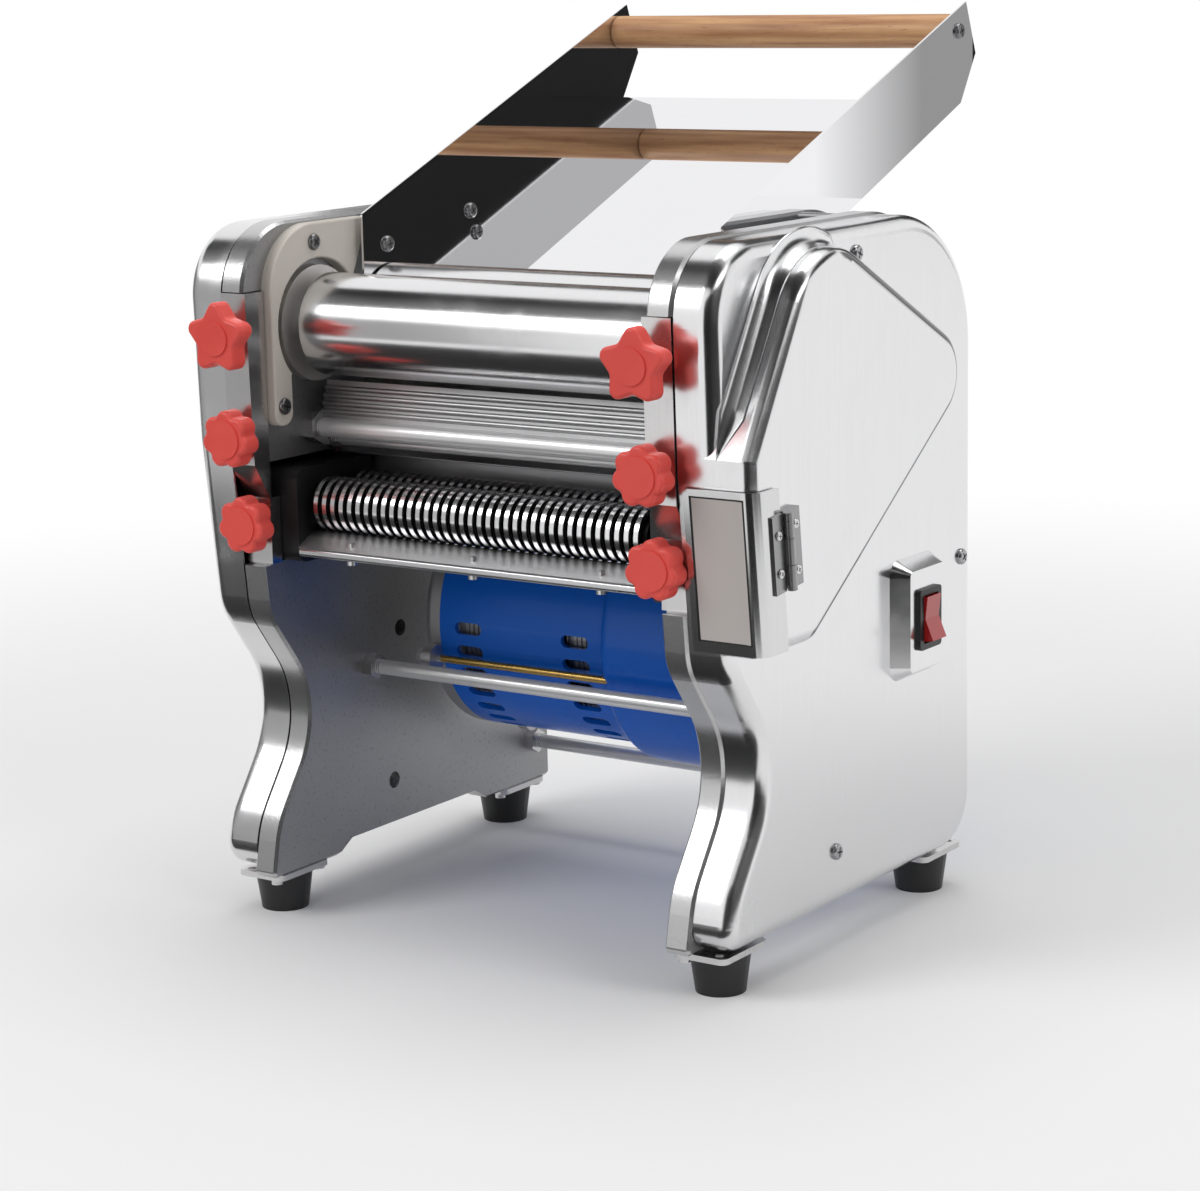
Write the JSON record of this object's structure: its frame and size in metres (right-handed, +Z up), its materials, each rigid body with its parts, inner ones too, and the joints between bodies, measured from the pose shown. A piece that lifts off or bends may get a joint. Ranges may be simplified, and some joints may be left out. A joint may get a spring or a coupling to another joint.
{
  "type": "electric pasta machine",
  "caption": "Table-top electric machine that sheets dough between two rollers and cuts it into noodles, with a feed chute, gap knobs, motor, switch and access door.",
  "frame": {"origin": "bottom centre of the bounding box, on the plane of the four foot soles", "axes": "+Z up; -Y is the front, where the knobs are, and the chute rises to +Y; +X is the side with the drive bulge, switch and door"},
  "size_m": [0.3413, 0.3606, 0.4592],
  "materials": {
    "frame_casting": "satin cast and painted grey",
    "cover_sheet": "finely brushed stainless sheet",
    "mirror_steel": "polished stainless",
    "bright_steel": "turned or drawn steel",
    "gear_steel": "hobbed, dark",
    "guard_nylon": "off-white nylon",
    "knob_red": "moulded coral red",
    "motor_blue": "glossy blue enamel",
    "motor_silver": "die-cast",
    "yellow_zinc": "yellow-zinc plated",
    "bush_bronze": "sintered bronze",
    "beech": "sanded beech",
    "foot_rubber": "matt black",
    "belt_rubber": "cord-backed",
    "black_plastic": "fine texture",
    "rocker_red": "tinted, glossy",
    "door_sheet": "sheet with a plain warm-grey panel"
  },
  "bodies": {
    "machine_frame": {"left_frame": "frame_casting", "right_frame": "frame_casting", "left_cover": "cover_sheet", "right_cover": "cover_sheet", "cover_screws": "bright_steel", "left_guard": "guard_nylon", "right_guard": "guard_nylon", "left_front_bar": "bright_steel", "right_front_bar": "bright_steel", "clamp_blocks": "bright_steel", "tie_rods": "bright_steel", "rod_nuts": "bright_steel", "foot_brackets": "bright_steel", "feet": "foot_rubber", "foot_screws": "bright_steel", "plate_screws": "bright_steel", "chute_pan": "mirror_steel", "left_chute_side": "mirror_steel", "right_chute_side": "mirror_steel", "carry_bar": "beech", "rear_bushes": "bush_bronze", "drive_belt": "belt_rubber", "stub_axles": "bright_steel", "motor_can": "motor_blue", "motor_end_bell": "motor_silver", "motor_gearcase": "motor_blue", "motor_bolts": "yellow_zinc", "left_cassette_end": "black_plastic", "right_cassette_end": "black_plastic", "combs": "mirror_steel", "comb_bars": "bright_steel", "comb_screws": "bright_steel", "front_guide": "mirror_steel", "rear_guide": "mirror_steel", "switch_housing": "black_plastic", "hinge_leaf": "bright_steel"},
    "carriage": {"bearing_blocks": "gear_steel"},
    "front_roller": {"front_roller": "mirror_steel", "front_sync_gear": "gear_steel"},
    "rear_roller": {"rear_roller": "mirror_steel", "rear_sync_gear": "gear_steel", "roller_gear": "gear_steel"},
    "idler": {"idler_gear": "gear_steel"},
    "countershaft": {"pinion": "gear_steel", "large_pulley": "motor_silver"},
    "motor_rotor": {"motor_shaft": "bright_steel", "motor_pulley": "motor_silver"},
    "front_cutter": {"front_cutter": "mirror_steel", "front_cutter_gear": "gear_steel"},
    "rear_cutter": {"rear_cutter": "mirror_steel", "rear_cutter_gear": "gear_steel"},
    "left_star_knob": {"left_star_knob": "knob_red"},
    "right_star_knob": {"right_star_knob": "knob_red"},
    "left_mid_knob": {"left_mid_knob": "knob_red"},
    "right_mid_knob": {"right_mid_knob": "knob_red"},
    "left_low_knob": {"left_low_knob": "knob_red"},
    "right_low_knob": {"right_low_knob": "knob_red"},
    "rocker": {"rocker": "rocker_red"},
    "door": {"door": "door_sheet", "door_leaf": "bright_steel"}
  },
  "joints": [
    {"name": "carriage_slide", "type": "slide", "parent": "machine_frame", "child": "carriage", "axis": [0, 1, 0], "range_m": [-0.003, 0]},
    {"name": "rear_roller_spin", "type": "hinge", "parent": "machine_frame", "child": "rear_roller", "pos_m": [-0.01095, -0.05574, 0.307], "axis": [1, 0, 0], "continuous": true},
    {"name": "front_roller_spin", "type": "hinge", "parent": "carriage", "child": "front_roller", "pos_m": [-0.01095, -0.10824, 0.307], "axis": [1, 0, 0], "continuous": true},
    {"name": "idler_spin", "type": "hinge", "parent": "machine_frame", "child": "idler", "pos_m": [-0.01095, -0.06946, 0.25065], "axis": [1, 0, 0], "continuous": true},
    {"name": "countershaft_spin", "type": "hinge", "parent": "machine_frame", "child": "countershaft", "pos_m": [-0.01095, -0.01052, 0.2909], "axis": [1, 0, 0], "continuous": true},
    {"name": "motor_spin", "type": "hinge", "parent": "machine_frame", "child": "motor_rotor", "pos_m": [-0.01095, 0.00976, 0.142], "axis": [1, 0, 0], "continuous": true},
    {"name": "front_cutter_spin", "type": "hinge", "parent": "machine_frame", "child": "front_cutter", "pos_m": [-0.01095, -0.12224, 0.217], "axis": [1, 0, 0], "continuous": true},
    {"name": "rear_cutter_spin", "type": "hinge", "parent": "machine_frame", "child": "rear_cutter", "pos_m": [-0.01095, -0.09624, 0.217], "axis": [1, 0, 0], "continuous": true},
    {"name": "left_star_turn", "type": "hinge", "parent": "machine_frame", "child": "left_star_knob", "pos_m": [-0.13445, -0.15024, 0.306], "axis": [0, 1, 0], "range_deg": [0, 1081]},
    {"name": "right_star_turn", "type": "hinge", "parent": "machine_frame", "child": "right_star_knob", "pos_m": [0.11255, -0.15024, 0.306], "axis": [0, 1, 0], "range_deg": [0, 1081]},
    {"name": "left_mid_turn", "type": "hinge", "parent": "machine_frame", "child": "left_mid_knob", "pos_m": [-0.13445, -0.15024, 0.255], "axis": [0, 1, 0], "range_deg": [0, 720]},
    {"name": "right_mid_turn", "type": "hinge", "parent": "machine_frame", "child": "right_mid_knob", "pos_m": [0.11255, -0.15024, 0.255], "axis": [0, 1, 0], "range_deg": [0, 720]},
    {"name": "left_low_turn", "type": "hinge", "parent": "machine_frame", "child": "left_low_knob", "pos_m": [-0.13445, -0.15024, 0.21], "axis": [0, 1, 0], "range_deg": [0, 720]},
    {"name": "right_low_turn", "type": "hinge", "parent": "machine_frame", "child": "right_low_knob", "pos_m": [0.11255, -0.15024, 0.21], "axis": [0, 1, 0], "range_deg": [0, 720]},
    {"name": "rocker_tilt", "type": "hinge", "parent": "machine_frame", "child": "rocker", "pos_m": [0.15355, 0.02476, 0.157], "axis": [0, 1, 0], "range_deg": [0, 16]},
    {"name": "door_swing", "type": "hinge", "parent": "machine_frame", "child": "door", "pos_m": [0.16825, -0.1334, 0.219], "axis": [0, -0.1006, 0.9949], "range_deg": [0, 110]}
  ],
  "couplings": [
    {"joint": "front_roller_spin", "follows": "rear_roller_spin", "ratio": -1},
    {"joint": "idler_spin", "follows": "rear_roller_spin", "ratio": -0.93333},
    {"joint": "countershaft_spin", "follows": "rear_roller_spin", "ratio": -1.4},
    {"joint": "motor_spin", "follows": "rear_roller_spin", "ratio": -3.2394},
    {"joint": "rear_cutter_spin", "follows": "rear_roller_spin", "ratio": 2.1538},
    {"joint": "front_cutter_spin", "follows": "rear_roller_spin", "ratio": -2.1538},
    {"joint": "left_star_turn", "follows": "carriage_slide", "rad_per_m": -6283.2},
    {"joint": "right_star_turn", "follows": "carriage_slide", "rad_per_m": -6283.2}
  ]
}
